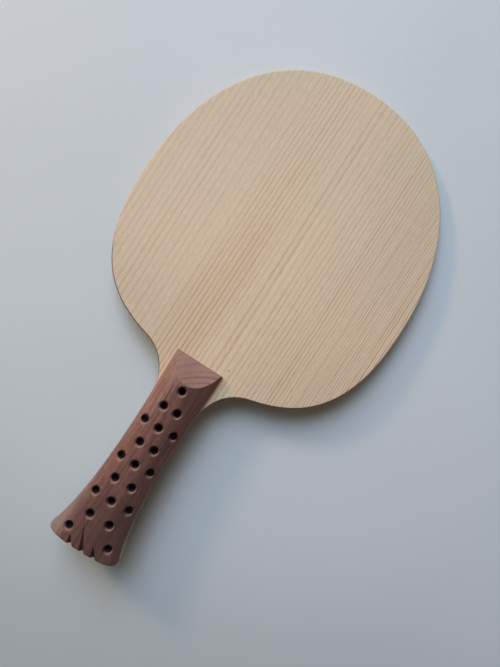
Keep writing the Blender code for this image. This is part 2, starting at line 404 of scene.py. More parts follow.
def sheet(bm, low, high, inset=0.0):
    margin = plies["levelMargin"]
    steps = plies["rimSteps"]
    levels = [(low, inset), (high, inset)]
    for step in range(steps):
        height = stackTop - plies["rimRadius"] * (1.0 - math.sin(math.pi / 2 * step / steps))
        levels.extend((level, inset) for level in (height, -height) if low + margin < level < high - margin)
    levels.sort()
    if high == stackTop:
        levels.append((high, inset + plies["flatMargin"]))
    if low == -stackTop:
        levels.insert(0, (low, inset + plies["flatMargin"]))
    loops = []
    for height, extra in levels:
        loop = []
        for (x, y), away in zip(outline, outward):
            draw = rimInset(height, y) + extra
            loop.append((x - away.x * draw, y - away.y * draw, height))
        loops.append(loop)
    skin(bm, loops)


def slabSeat(bm, low, high):
    loop = bothSides([(x - plies["seatInset"], y) for x, y in side])
    skin(bm, [[(x, y, height) for x, y in loop] for height in (low, high)])


def addDrilled(name, build, *given):
    piece = addPiece(name, build, *given)
    cutAway(piece, (drillCutter,), plies["smoothAngle"])
    return piece


faceLow, faceHigh = plies["faceLevels"]
crossLow, crossHigh = plies["crossLevels"]
coreLow, coreHigh = plies["coreLevels"]
frontFace = addDrilled("frontFace", sheet, faceLow, faceHigh)
frontCross = addDrilled("frontCross", sheet, crossLow, crossHigh)
core = addDrilled("core", sheet, coreLow, coreHigh)
rearCross = addDrilled("rearCross", sheet, -crossHigh, -crossLow)
rearFace = addDrilled("rearFace", sheet, -faceHigh, -faceLow)
glueGaps = ((crossHigh, faceLow), (coreHigh, crossLow), (-crossLow, coreLow), (-faceLow, -crossHigh))
seatLow = stackTop - plies["seatOverlap"]
seatHigh = slab["visibleBase"] + plies["seatOverlap"]
glueLines = []
for number, (low, high) in enumerate(glueGaps, 1):
    glueLines.append(addDrilled("glueLine%d" % number, sheet, low, high, plies["glueInset"]))
for number, (low, high) in enumerate(((seatLow, seatHigh), (-seatHigh, -seatLow)), 1):
    glueLines.append(addDrilled("slabGlue%d" % number, slabSeat, low, high))
for cutter in holeCutters + [notchCutter, bevelCutter]:
    bpy.data.objects.remove(cutter)
print("plies:", sum(len(piece.data.polygons) for piece in (frontFace, frontCross, core, rearCross, rearFace)), "faces")


def fill(tree, socket, value):
    # links a socket to another one, or sets it to a plain value
    if isinstance(value, bpy.types.NodeSocket):
        tree.links.new(value, socket)
    else:
        socket.default_value = value


def addNode(tree, kind, inputs=None, **settings):
    made = tree.nodes.new("ShaderNode" + kind)
    for name, value in settings.items():
        setattr(made, name, value)
    for socket, value in (inputs or {}).items():
        fill(tree, made.inputs[socket], value)
    return made


def calc(tree, operation, *values):
    return addNode(tree, "Math", dict(enumerate(values)), operation=operation).outputs[0]


def plus(tree, total, *others):
    for other in others:
        total = calc(tree, "ADD", total, other)
    return total


def weighted(tree, values, weights):
    return plus(tree, *[times(tree, value, weight) for value, weight in zip(values, weights)])


def minus(tree, first, second):
    return calc(tree, "SUBTRACT", first, second)


def times(tree, product, *others):
    for other in others:
        product = calc(tree, "MULTIPLY", product, other)
    return product


def between(tree, value, low, high, newLow=0.0, newHigh=1.0):
    inputs = {"Value": value, "From Min": low, "From Max": high, "To Min": newLow, "To Max": newHigh}
    return addNode(tree, "MapRange", inputs, interpolation_type="SMOOTHSTEP").outputs["Result"]


def joined(tree, x, y, z=0.0):
    return addNode(tree, "CombineXYZ", {0: x, 1: y, 2: z}).outputs[0]


def parted(tree, vector):
    return addNode(tree, "SeparateXYZ", {0: vector}).outputs[:]


def vectorMath(tree, operation, *vectors):
    return addNode(tree, "VectorMath", dict(enumerate(vectors)), operation=operation).outputs


def blend(tree, share, first, second, mode="MIX"):
    made = addNode(tree, "Mix", data_type="RGBA", blend_type=mode)
    for number, value in ((0, share), (6, first), (7, second)):
        fill(tree, made.inputs[number], value)
    return made.outputs[2]


def dimmed(tree, colour, level):
    grey = addNode(tree, "CombineColor", {0: level, 1: level, 2: level}).outputs[0]
    return blend(tree, 1.0, colour, grey, "MULTIPLY")


def region(tree, first, second, ranges):
    # where two values are both in range
    return times(tree, between(tree, first, *ranges[0]), between(tree, second, *ranges[1]))


def noise(tree, vector, detail=2.0, roughness=0.5, scale=1.0):
    inputs = {"Vector": vector, "Scale": scale, "Detail": detail, "Roughness": roughness}
    return addNode(tree, "TexNoise", inputs).outputs["Fac"]


def grainNoise(tree, point, look, offset=0.0):
    # noise drawn out along the grain: a scale each for across, along and through, then detail and roughness
    moved = (offset, offset * 0.7, offset * 1.3)
    return noise(tree, vectorMath(tree, "MULTIPLY_ADD", point, look[:3], moved)[0], *look[3:])


def floatCurve(tree, value, points):
    made = addNode(tree, "FloatCurve", {"Value": value})
    curve = made.mapping.curves[0]
    curve.points[0].location = points[0]
    curve.points[1].location = points[-1]
    for x, y in points[1:-1]:
        curve.points.new(x, y)
    for point in curve.points:
        point.handle_type = "VECTOR"
    made.mapping.update()
    return made.outputs["Value"]


def newGroup(name, values, outputs):
    # takes a point and these values
    tree = bpy.data.node_groups.new(name, "ShaderNodeTree")
    tree.interface.new_socket("Point", in_out="INPUT", socket_type="NodeSocketVector")
    for socket, value in values.items():
        tree.interface.new_socket(socket, in_out="INPUT", socket_type="NodeSocketFloat").default_value = value
    for socket in outputs:
        tree.interface.new_socket(socket, in_out="OUTPUT", socket_type="NodeSocketFloat")
    return tree, tree.nodes.new("NodeGroupInput").outputs, tree.nodes.new("NodeGroupOutput").inputs


# Fine fibres and pores along Y, which every wood here uses
fibreLook = {
    "fibreNoise": (3.0, 0.6),      # detail and roughness
    "poreNoise": (1.0, 0.4),
    "shadeNoise": (2.0, 0.5),
    "shadeWidths": 12.0,           # how many fibres wide and long the broad shade is
    "shadeLengths": 6.0,
    "poreEdge": 0.86,
    "poreSpan": 0.4,
    "poreSoftness": 0.06,
}


def woodFibreGroup(look):
    tree, given, result = newGroup("woodFibre", {
        "Fibre Width": 0.3, "Fibre Length": 14.0, "Pore Width": 0.25, "Pore Length": 3.0, "Pore Amount": 0.3,
        "Seed": 0.0}, ("Fibre", "Pore", "Shade"))

    def squeezed(width, length):
        sides = calc(tree, "DIVIDE", 1.0, width)
        scales = joined(tree, sides, calc(tree, "DIVIDE", 1.0, length), sides)
        return vectorMath(tree, "MULTIPLY_ADD", given["Point"], scales, given["Seed"])[0]

    fibre = noise(tree, squeezed(given["Fibre Width"], given["Fibre Length"]), *look["fibreNoise"])
    dots = noise(tree, squeezed(given["Pore Width"], given["Pore Length"]), *look["poreNoise"])
    edge = minus(tree, look["poreEdge"], times(tree, given["Pore Amount"], look["poreSpan"]))
    pore = between(tree, dots, edge, plus(tree, edge, look["poreSoftness"]))
    broad = squeezed(times(tree, given["Fibre Width"], look["shadeWidths"]),
                     times(tree, given["Fibre Length"], look["shadeLengths"]))
    shade = noise(tree, broad, *look["shadeNoise"])
    for socket, value in (("Fibre", fibre), ("Pore", pore), ("Shade", shade)):
        fill(tree, result[socket], value)
    return tree


# Late-wood lines of straight-grained softwood, close at the sides of the face and wide beside its middle
grainLines = {
    "halfFace": 75.0,              # mm, where the curves over shares of the face begin and end
    "rings": ((-75.0, -1.0), (-23.3, 16.0), (-5.0, 24.0), (2.3, 27.0), (16.0, 31.0), (32.7, 38.0), (46.7, 46.0),
              (52.5, 51.0), (60.0, 57.0), (75.0, 68.5)),       # mm across, number of the growth ring
    "spacing": ((0.0, 0.76), (0.33, 0.76), (0.36, 0.58), (0.51, 0.58), (0.54, 0.92), (0.60, 0.92), (0.64, 0.60),
                (0.72, 0.60), (0.75, 0.44), (0.82, 0.32), (1.0, 0.32)),
    "spacingUnit": 4.0,            # mm
    "breadth": ((0.0, 0.64), (0.33, 0.58), (0.38, 0.46), (0.50, 0.46), (0.535, 0.92), (0.60, 0.92), (0.64, 0.50),
                (1.0, 0.46)),
    "breadthUnit": 2.2,            # line widths
    "breadthChance": (0.0, 1.0, 0.75, 1.30),
    "strengthChance": (0.0, 1.0, 0.52, 1.10),
    "strengthAlong": (0.25, 0.75, 0.72, 1.18),
    "patchScale": 0.035,
    "driftScale": (0.02, 0.014),
    "rippleScale": 0.06,
    "rippleSeed": 9.0,
    "rippleShare": 0.3,
    "middle": 0.42,                # where in its ring a line lies, and how far that varies
    "middleChance": 0.16,
    "early": -1.5,                 # shares of a line's breadth
    "late": (0.1, 0.6),
}


def straightGrainGroup(look):
    tree, given, result = newGroup("straightGrain", {"Line Width": 0.5, "Wander": 0.8, "Seed": 0.0},
                                   ("Line", "Band", "Across"))
    x, y = parted(tree, given["Point"])[:2]
    driftAcross, driftAlong = look["driftScale"]
    rippleScale = look["rippleScale"]
    broad = joined(tree, times(tree, x, driftAcross), times(tree, y, driftAlong), given["Seed"])
    small = joined(tree, times(tree, x, rippleScale), times(tree, y, rippleScale),
                   plus(tree, given["Seed"], look["rippleSeed"]))
    drift, ripple = [minus(tree, noise(tree, vector, 1.0), 0.5) for vector in (broad, small)]
    drift = plus(tree, drift, times(tree, ripple, look["rippleShare"]))
    x = plus(tree, x, times(tree, drift, given["Wander"]))
    half = look["halfFace"]
    across = calc(tree, "DIVIDE", plus(tree, x, half), 2 * half)
    rings = look["rings"]
    firstRing = rings[0][1]
    ringSpan = rings[-1][1] - firstRing
    points = [((at + half) / (2 * half), (ring - firstRing) / ringSpan) for at, ring in rings]
    count = plus(tree, times(tree, floatCurve(tree, across, points), ringSpan), 0.5)
    cell = calc(tree, "FLOOR", count)
    seeds = joined(tree, cell, given["Seed"])
    chance = addNode(tree, "TexWhiteNoise", {"Vector": seeds}, noise_dimensions="3D").outputs["Color"]
    chances = addNode(tree, "SeparateColor", {0: chance}).outputs
    middle = plus(tree, look["middle"], times(tree, chances["Red"], look["middleChance"]))
    away = minus(tree, calc(tree, "FRACT", count), middle)
    spacing = times(tree, floatCurve(tree, across, look["spacing"]), look["spacingUnit"])
    breadth = times(tree, floatCurve(tree, across, look["breadth"]), look["breadthUnit"],
                    between(tree, chances["Blue"], *look["breadthChance"]))
    share = calc(tree, "DIVIDE", times(tree, given["Line Width"], breadth), spacing)
    early = between(tree, away, times(tree, share, look["early"]), 0.0)
    lateLow, lateHigh = look["late"]
    late = between(tree, away, times(tree, share, lateLow), times(tree, share, lateHigh), 1.0, 0.0)
    patch = noise(tree, joined(tree, cell, times(tree, y, look["patchScale"]), given["Seed"]), 2.0)
    strength = times(tree, between(tree, chances["Green"], *look["strengthChance"]),
                     between(tree, patch, *look["strengthAlong"]))
    line = times(tree, early, late, strength)
    for socket, value in (("Line", line), ("Band", chances["Blue"]), ("Across", across)):
        fill(tree, result[socket], value)
    return tree


woodFibre = woodFibreGroup(fibreLook)
straightGrain = straightGrainGroup(grainLines)
print("node groups built")


def newMaterial(name, turned=False):
    # with the point in millimetres; a turned piece is seen from its other side
    material = bpy.data.materials.new(name)
    material.use_nodes = True
    tree = material.node_tree
    place = addNode(tree, "TexCoord").outputs
    point = addNode(tree, "VectorMath", {0: place["Object"], "Scale": 1000.0}, operation="SCALE").outputs[0]
    if turned:
        point = vectorMath(tree, "MULTIPLY", point, (-1.0, 1.0, -1.0))[0]
    return material, tree, tree.nodes["Principled BSDF"], place, point


def placeGroup(tree, group, inputs, **others):
    return addNode(tree, "Group", {**inputs, **others}, node_tree=group).outputs


def finishShader(tree, shader, look, colour, texture, relief):
    fill(tree, shader.inputs["Base Color"], colour)
    fill(tree, shader.inputs["Roughness"], between(tree, texture, *look["roughness"]))
    strength, depth = look["bump"]
    bump = addNode(tree, "Bump", {"Strength": strength, "Distance": depth, "Height": relief}).outputs[0]
    fill(tree, shader.inputs["Normal"], bump)
    shader.inputs["Specular IOR Level"].default_value = look["specular"]


# Face veneers: pale sanded softwood, warmer in a streak that runs up from the handle.
# Ranges are from and to, in mm on the blade, then the values at both; curves run over shares of the face.
faceWood = {
    "lines": {"Line Width": 0.46, "Wander": 1.1},
    "fibres": {"Fibre Width": 0.45, "Fibre Length": 22.0, "Pore Width": 0.3, "Pore Length": 3.0, "Pore Amount": 0.46},
    "pale": (0.580, 0.482, 0.366, 1.0),
    "tip": (0.510, 0.441, 0.334, 1.0),
    "tipReach": (15.0, 125.0),
    "leftTint": (0.925, 0.940, 0.952, 1.0),
    "leftReach": (-5.0, -68.0),
    "late": (0.335, 0.226, 0.146, 1.0),
    "lateTip": (0.288, 0.210, 0.148, 1.0),
    "lateOrange": (0.370, 0.222, 0.118, 1.0),
    "orange": ((0.0, 0.0), (0.40, 0.1), (0.48, 0.7), (0.62, 1.0), (0.68, 0.2), (1.0, 0.0)),
    "orangeReach": (110.0, 40.0, 0.3, 1.0),
    "contrast": ((0.0, 0.31), (0.30, 0.38), (0.36, 0.84), (0.42, 0.84), (0.46, 0.66), (0.52, 0.50), (0.60, 0.50),
                 (0.68, 0.58), (0.76, 0.56), (0.85, 0.74), (1.0, 0.74)),
    "contrastReach": (130.0, -30.0, 0.82, 1.10),
    "warm": (0.510, 0.372, 0.260, 1.0),
    "streak": ((0.0, 0.0), (0.30, 0.04), (0.385, 0.85), (0.43, 1.0), (0.50, 0.15), (1.0, 0.0)),
    "streakReach": (100.0, -10.0, 0.22, 1.0),
    "streakShare": 0.55,
    "streakContrast": (25.0, -10.0, 0.0, 0.24),
    "clouds": (0.03, 0.012, 0.03, 2.0, 0.5),
    "flecks": (3.0, 0.26, 3.0, 2.0, 0.6),
    "bandShares": (0.03, 0.20, 0.52, 0.06, 0.06),
    "level": 0.835,
    "neckDimming": ((24.0, -20.0, 0.0, 0.055), (12.0, 30.0)),
    "poreShare": 0.16,
    "rim": (0.520, 0.395, 0.280, 1.0),
    "rimTurn": (0.93, 0.35, 0.0, 0.6),         # over the upright part of the normal
    "tongueRim": (0.490, 0.430, 0.370, 1.0),
    "tongueReach": (-40.0, -50.0),
    "tongueShare": 0.7,
    "darkRimAndLitFlank": (0.115, 0.076, 0.054, 1.0),
    "darkNeckRim": ((12.0, -8.0, 0.08, 0.95), (-52.0, -40.0)),
    "darkNeckRimTurn": (0.9995, 0.955),
    "darkerTowardButt": ((-64.0, -82.0, 0.0, 0.40), (-124.0, -110.0)),
    "darkerTowardButtSide": (4.0, 10.0),
    "speck": (13.8, -21.75, 0.34),             # mm across, mm along, its reach
    "speckColour": (0.110, 0.040, 0.020, 1.0),
    "speckStretch": (1.0, 0.45, 0.0),
    "speckCore": 0.35,
    "texture": (1.0, -0.2),        # fibres and lines
    "relief": (0.9, 0.35),
    "roughness": (0.2, 0.8, 0.58, 0.74),
    "bump": (0.35, 0.00005),
    "specular": 0.25,
}


def faceVeneer(name, look, seed, turned):
    material, tree, shader, place, point = newMaterial(name, turned)
    grain = placeGroup(tree, straightGrain, look["lines"], Point=point, Seed=seed)
    fibres = placeGroup(tree, woodFibre, look["fibres"], Point=point, Seed=seed)
    x, y = parted(tree, point)[:2]

    def over(key):
        return floatCurve(tree, grain["Across"], look[key])

    def along(key):
        return between(tree, y, *look[key])

    atTip = along("tipReach")
    late = blend(tree, times(tree, over("orange"), along("orangeReach")),
                 blend(tree, atTip, look["late"], look["lateTip"]), look["lateOrange"])
    streak = times(tree, over("streak"), along("streakReach"))
    contrast = plus(tree, times(tree, over("contrast"), along("contrastReach")),
                    times(tree, streak, along("streakContrast")))
    colour = blend(tree, atTip, look["pale"], look["tip"])
    colour = blend(tree, times(tree, streak, look["streakShare"]), colour, look["warm"])
    tinted = blend(tree, 1.0, colour, look["leftTint"], "MULTIPLY")
    colour = blend(tree, between(tree, x, *look["leftReach"]), colour, tinted)
    colour = blend(tree, times(tree, grain["Line"], contrast), colour, late)

    flecks = minus(tree, grainNoise(tree, point, look["flecks"], seed), 0.5)
    clouds = grainNoise(tree, point, look["clouds"], seed)
    toNeck = region(tree, y, calc(tree, "ABSOLUTE", x), look["neckDimming"])
    bands = weighted(tree, (grain["Band"], fibres["Fibre"], flecks, fibres["Shade"], clouds), look["bandShares"])
    colour = dimmed(tree, colour, plus(tree, bands, minus(tree, look["level"], toNeck)))
    colour = blend(tree, times(tree, fibres["Pore"], look["poreShare"]), colour, look["late"])

    # the sanded rim, darker along the neck and, on the right of the handle, toward the butt
    upright = calc(tree, "ABSOLUTE", parted(tree, place["Normal"])[2])
    tongue = along("tongueReach")
    colour = blend(tree, times(tree, tongue, look["tongueShare"]), colour, look["tongueRim"])
    rim = blend(tree, tongue, look["rim"], look["tongueRim"])
    colour = blend(tree, between(tree, upright, *look["rimTurn"]), colour, rim)
    # the rim on the right of the handle darker toward the butt
    darkerTowardButt = times(tree, region(tree, y, y, look["darkerTowardButt"]), between(tree, x, *look["darkerTowardButtSide"]))
    colour = blend(tree, darkerTowardButt, colour, look["darkRimAndLitFlank"])
    darkNeckRim = times(tree, region(tree, y, y, look["darkNeckRim"]), between(tree, upright, *look["darkNeckRimTurn"]))
    colour = blend(tree, darkNeckRim, colour, look["darkRimAndLitFlank"])
    if not turned:
        speckX, speckY, reach = look["speck"]
        stretch = look["speckStretch"]
        centre = (speckX * stretch[0], speckY * stretch[1], 0.0)
        near = vectorMath(tree, "DISTANCE", vectorMath(tree, "MULTIPLY", point, stretch)[0], centre)["Value"]
        speck = between(tree, near, reach, reach * look["speckCore"])
        colour = blend(tree, speck, colour, look["speckColour"])
    texture, relief = [weighted(tree, (fibres["Fibre"], grain["Line"]), look[key]) for key in ("texture", "relief")]
    finishShader(tree, shader, look, colour, texture, relief)
    return material


# Cross veneers: a darker hardwood whose grain runs across the blade
crossWood = {
    "fibres": {"Fibre Width": 0.35, "Fibre Length": 16.0, "Pore Width": 0.22, "Pore Length": 2.5, "Pore Amount": 0.7},
    "seed": 7.0,
    "acrossBlade": True,
    "base": (0.430, 0.275, 0.150, 1.0),
    "dark": (0.250, 0.145, 0.075, 1.0),
    "fibreRange": (0.3, 0.75),
    "poreShare": 0.7,
    "roughness": (0.2, 0.8, 0.62, 0.78),
    "bump": (0.4, 0.00006),
    "specular": 0.3,
}

# Core: thick light wood, open pored
coreWood = {
    "fibres": {"Fibre Width": 0.6, "Fibre Length": 25.0, "Pore Width": 0.32, "Pore Length": 5.0, "Pore Amount": 0.6},
    "seed": 3.0,
    "acrossBlade": False,
    "base": (0.600, 0.480, 0.330, 1.0),
    "dark": (0.430, 0.320, 0.200, 1.0),
    "fibreRange": (0.35, 0.8),
    "rays": (0.5, 0.5, 2.2, 3.0, 0.5),
    "rayRange": (0.5, 0.8, 0.0, 0.35),
    "poreShare": 0.6,
    "roughness": (0.2, 0.8, 0.66, 0.82),
    "bump": (0.5, 0.00008),
    "specular": 0.3,
}


def innerPly(name, look):
    material, tree, shader, place, point = newMaterial(name)
    if look["acrossBlade"]:
        given = {"Vector": point, "Angle": math.pi / 2}
        point = addNode(tree, "VectorRotate", given, rotation_type="Z_AXIS").outputs[0]
    fibres = placeGroup(tree, woodFibre, look["fibres"], Point=point, Seed=look["seed"])
    colour = blend(tree, between(tree, fibres["Fibre"], *look["fibreRange"]), look["base"], look["dark"])
    if "rays" in look:
        rays = between(tree, grainNoise(tree, point, look["rays"]), *look["rayRange"])
        colour = blend(tree, rays, colour, look["dark"])
    colour = blend(tree, times(tree, fibres["Pore"], look["poreShare"]), colour, look["dark"])
    finishShader(tree, shader, look, colour, fibres["Fibre"], minus(tree, fibres["Fibre"], fibres["Pore"]))
    return material


# Glue lines: thin amber seams between the plies
glueSeam = {
    "base": (0.300, 0.185, 0.085, 1.0),
    "dark": (0.120, 0.070, 0.035, 1.0),
    "patches": (3.0, 0.6, 0.8),    # detail, roughness and scale
    "patchRange": (0.3, 0.7),
    "roughness": (0.2, 0.8, 0.35, 0.55),
}


def glueMaterial(look):
    material, tree, shader, place, point = newMaterial("glueSeam")
    patches = noise(tree, point, *look["patches"])
    colour = blend(tree, between(tree, patches, *look["patchRange"]), look["base"], look["dark"])
    fill(tree, shader.inputs["Base Color"], colour)
    fill(tree, shader.inputs["Roughness"], between(tree, patches, *look["roughness"]))
    return material


# Walnut slabs: growth rings round a heart above the slab, fine dark pores, a dustier sanded bevel.
# Ranges read as those of the face veneers.
walnut = {
    "heart": (21.0, 70.0),         # mm across and up from the middle of the blade
    "rings": ((58.0, 0.40), (60.9, 0.45), (61.3, 0.62), (61.6, 0.40), (62.05, 0.45), (62.25, 0.85), (62.45, 0.80),
              (62.65, 0.35), (63.3, 0.32), (63.6, 0.95), (63.85, 0.90), (64.05, 0.35), (64.7, 0.35), (64.9, 0.75),
              (65.1, 0.28), (66.0, 0.20), (66.7, 0.50), (67.1, 0.55), (67.35, 0.15), (68.5, 0.10), (68.7, 0.50),
              (68.9, 0.08), (70.1, 0.08), (70.35, 0.55), (70.55, 0.08), (71.9, 0.12), (72.15, 0.50), (72.4, 0.10),
              (74.0, 0.20), (78.0, 0.30)),       # mm from the heart, darkness
    "ringDrift": (-30.0, -70.0, -1.0, 0.4),
    "wobble": (0.07, 0.016, 0.07, 2.0, 0.5),
    "ringWobble": 1.1,             # mm
    "edgeWobble": 3.0,
    "streaks": (1.1, 0.018, 0.5, 4.0, 0.62),
    "streakRange": (0.34, 0.70),
    "streakDepth": 0.4,
    "hairs": (3.2, 0.045, 1.6, 3.0, 0.65),
    "hairRange": (0.37, 0.64),
    "hairSeed": 2.0,
    "grainShares": (0.36, 0.37),   # streaks and hairs
    "figureShares": (0.50, 1.0),   # rings and grain
    "fibres": {"Fibre Width": 0.28, "Fibre Length": 12.0, "Pore Width": 0.26, "Pore Length": 3.4, "Pore Amount": 0.64},
    "pale": (0.213, 0.100, 0.079, 1.0),
    "dark": (0.078, 0.033, 0.027, 1.0),
    "sap": (0.345, 0.190, 0.154, 1.0),
    "sapEdge": (-42.0, -78.0, -2.0, -7.0),
    "sapWidth": 6.0,               # mm
    "sapFade": (-54.0, -84.0, 1.0, 0.30),
    "sapDusted": (-54.0, -34.0, 0.0, 0.6),
    "red": (0.200, 0.072, 0.050, 1.0),
    "redClouds": (0.22, 0.010, 0.1, 1.0, 0.5),
    "redRange": (0.5, 0.75, 0.0, 0.5),
    "redSeed": 4.0,
    "facet": (0.274, 0.160, 0.133, 1.0),
    "facetDark": (0.140, 0.070, 0.057, 1.0),
    "facetReach": 14.0,            # mm from the head end of the slab
    "facetTurn": (0.20, 0.36),     # over the normal's part toward the head
    "facetShares": (0.80, 0.35),
    "facetLight": (-4.0, 8.0, 0.0, 0.13),
    # painted light: the left of the crown beside the bevel takes the bevel's pale colour
    "paintedLightNearFacet": ((1.0, -5.0), (-47.0, -33.0, 0.0, 0.6)),
    "buttReach": 1.2,              # mm
    "buttTurn": (-0.3, -0.9),
    "buttShare": 0.35,
    # painted sheen colour and its place on the left flank near the butt
    "paintedFlankSheen": (0.400, 0.300, 0.265, 1.0),
    "darkRimAndLitFlank": ((-10.5, -15.5), (-84.0, -106.0, 0.0, 0.55)),
    "heartwood": ((0.5, 5.0), (8.0, 12.0, 0.30, 0.08)),
    # painted shade: darker toward the butt, a little less on the right side
    "paintedButtShade": (-94.0, -112.0, 1.0),
    "paintedButtShadeSide": (9.0, 14.0, 0.71, 0.82),
    "warmSide": (1.22, 1.08, 0.92, 1.0),
    "warmed": ((6.0, 11.0), (-92.0, -68.0)),
    "coarseness": (0.0, 1.0, 0.90, 0.26),      # on the slab, then on its bevel
    "poreShare": (0.0, 1.0, 0.56, 0.14),
    "pore": (0.040, 0.017, 0.013, 1.0),
    # painted shade colour for the drilled walls
    "paintedBoreShade": (0.034, 0.023, 0.030, 1.0),
    "boreMark": (0.6, 0.9),
    "sinkMark": (0.2, 0.5),
    # painted highlight colour for countersink sides that face the light
    "paintedSinkHighlight": (0.400, 0.265, 0.230, 1.0),
    "towardLight": (0.7, 0.7),        # toward the light, to the left and to the tip: countersink sides turned to it get a painted highlight, sides turned away painted shade
    "paintedHighlightSide": (0.0, 0.45, 0.0, 0.25),
    "paintedShadeSide": (0.1, -0.35, 0.0, 0.6),
    "texture": (1.0, 0.4),         # fibres and pores
    "relief": (0.5, -1.0),
    "coarseRelief": 2.5,
    "roughness": (0.2, 0.9, 0.50, 0.68),
    "bump": (0.45, 0.00008),
    "specular": 0.30,
}


def walnutMaterial(name, look, seed, turned):
    material, tree, shader, place, point = newMaterial(name, turned)
    x, y, z = parted(tree, point)

    def over(value, key):
        return between(tree, value, *look[key])

    wobble = minus(tree, grainNoise(tree, point, look["wobble"], seed), 0.5)
    toHead = parted(tree, place["Normal"])[1]
    headEnd = calc(tree, "GREATER_THAN", y, handleTopY * 1000 - look["facetReach"])
    facet = times(tree, over(toHead, "facetTurn"), headEnd)
    offFacet = minus(tree, 1.0, facet)

    # growth rings, streaks that follow them, and hairs along the blade
    heartX, heartZ = look["heart"]
    across = minus(tree, x, heartX + seed)
    up = minus(tree, z, heartZ)
    radius = calc(tree, "SQRT", plus(tree, times(tree, across, across), times(tree, up, up)))
    radius = plus(tree, radius, times(tree, offFacet, over(y, "ringDrift")), times(tree, wobble, look["ringWobble"]))
    firstRadius = look["rings"][0][0]
    reach = look["rings"][-1][0] - firstRadius
    rings = floatCurve(tree, calc(tree, "DIVIDE", minus(tree, radius, firstRadius), reach),
                       [((at - firstRadius) / reach, darkness) for at, darkness in look["rings"]])
    curved = joined(tree, radius, y, times(tree, across, look["streakDepth"]))
    streaks = over(grainNoise(tree, curved, look["streaks"], seed), "streakRange")
    hairs = over(grainNoise(tree, point, look["hairs"], seed + look["hairSeed"]), "hairRange")
    fibres = placeGroup(tree, woodFibre, look["fibres"], Point=point, Seed=seed)
    grain = weighted(tree, (streaks, hairs), look["grainShares"])
    figure = weighted(tree, (rings, grain), look["figureShares"])

    # sapwood on the left, reddish clouds, painted light beside the bevel, the sanded bevel and the butt
    wavy = plus(tree, x, times(tree, wobble, look["edgeWobble"]))
    edge = over(y, "sapEdge")
    sap = times(tree, between(tree, wavy, edge, minus(tree, edge, look["sapWidth"])), over(y, "sapFade"))
    colour = blend(tree, sap, look["pale"], blend(tree, over(y, "sapDusted"), look["sap"], look["facet"]))
    colour = blend(tree, figure, colour, look["dark"])
    clouds = grainNoise(tree, curved, look["redClouds"], seed + look["redSeed"])
    colour = blend(tree, over(clouds, "redRange"), colour, look["red"])
    # painted light: the bevel's pale colour on the left of the crown next to it, where light from the left falls
    colour = blend(tree, region(tree, wavy, y, look["paintedLightNearFacet"]), colour, look["facet"])
    buttEnd = calc(tree, "LESS_THAN", y, buttY * 1000 + look["buttReach"])
    dusted = calc(tree, "MAXIMUM", facet, times(tree, over(toHead, "buttTurn"), buttEnd, look["buttShare"]))
    figured = weighted(tree, (rings, grain), look["facetShares"])
    colour = blend(tree, dusted, colour, blend(tree, figured, look["facet"], look["facetDark"]))
    # painted sheen: the left flank near the butt paler, where the light from the left catches it
    colour = blend(tree, region(tree, x, y, look["darkRimAndLitFlank"]), colour, look["paintedFlankSheen"])

    # broad light and dark: heartwood, painted shade toward the butt, then the fibres and pores
    heartwood = times(tree, region(tree, wavy, wavy, look["heartwood"]), offFacet)
    # painted shade darkening toward the butt
    paintedButtShade = between(tree, y, *look["paintedButtShade"], over(x, "paintedButtShadeSide"))
    shade = times(tree, minus(tree, 1.0, heartwood), paintedButtShade)
    colour = dimmed(tree, colour, plus(tree, shade, times(tree, facet, over(wavy, "facetLight"))))
    tint = blend(tree, region(tree, wavy, y, look["warmed"]), (1.0, 1.0, 1.0, 1.0), look["warmSide"])
    colour = blend(tree, offFacet, colour, blend(tree, 1.0, colour, tint, "MULTIPLY"))
    coarse = over(facet, "coarseness")
    level = plus(tree, minus(tree, 1.0, times(tree, coarse, 0.5)), times(tree, fibres["Fibre"], coarse))
    colour = dimmed(tree, colour, level)
    pores = times(tree, fibres["Pore"], over(facet, "poreShare"))
    colour = blend(tree, pores, colour, look["pore"])

    # the drilled walls and countersinks, with painted highlight and painted shade on the countersinks by how they face
    # the light, and painted shade on the drilled walls
    cut = addNode(tree, "Attribute", attribute_name="cut").outputs["Fac"]
    left, ahead = look["towardLight"]
    turn = vectorMath(tree, "DOT_PRODUCT", place["Normal"], (left if turned else -left, ahead, 0.0))["Value"]
    sunk = over(cut, "sinkMark")
    # painted highlight on the countersink sides turned toward the light, painted shade in the pore colour on those
    # turned away
    colour = blend(tree, times(tree, sunk, over(turn, "paintedHighlightSide")), colour, look["paintedSinkHighlight"])
    colour = blend(tree, times(tree, sunk, over(turn, "paintedShadeSide")), colour, look["pore"])
    # painted shade: the drilled walls near-black
    colour = blend(tree, over(cut, "boreMark"), colour, look["paintedBoreShade"])
    texture, relief = [weighted(tree, (fibres["Fibre"], fibres["Pore"]), look[key]) for key in ("texture", "relief")]
    finishShader(tree, shader, look, colour, texture, times(tree, relief, coarse, look["coarseRelief"]))
    return material


def finishPiece(piece, material, node=None):
    piece.data.materials.clear()
    piece.data.materials.append(material)
    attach(piece, "root")
    if node:
        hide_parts(node)


finishPiece(frontFace, faceVeneer("frontFaceWood", faceWood, 0.0, False), "front_face_veneer")
finishPiece(rearFace, faceVeneer("rearFaceWood", faceWood, 5.0, True), "rear_face_veneer")
crossMaterial = innerPly("crossVeneer", crossWood)
finishPiece(frontCross, crossMaterial, "front_cross_veneer")
finishPiece(rearCross, crossMaterial, "rear_cross_veneer")
finishPiece(core, innerPly("coreWood", coreWood), "core_ply")
finishPiece(frontSlab, walnutMaterial("frontWalnut", walnut, 0.0, False), "front_handle_slab")
finishPiece(rearSlab, walnutMaterial("rearWalnut", walnut, 3.0, True), "rear_handle_slab")
seamMaterial = glueMaterial(glueSeam)
for seam in glueLines:
    finishPiece(seam, seamMaterial)
print("materials placed")


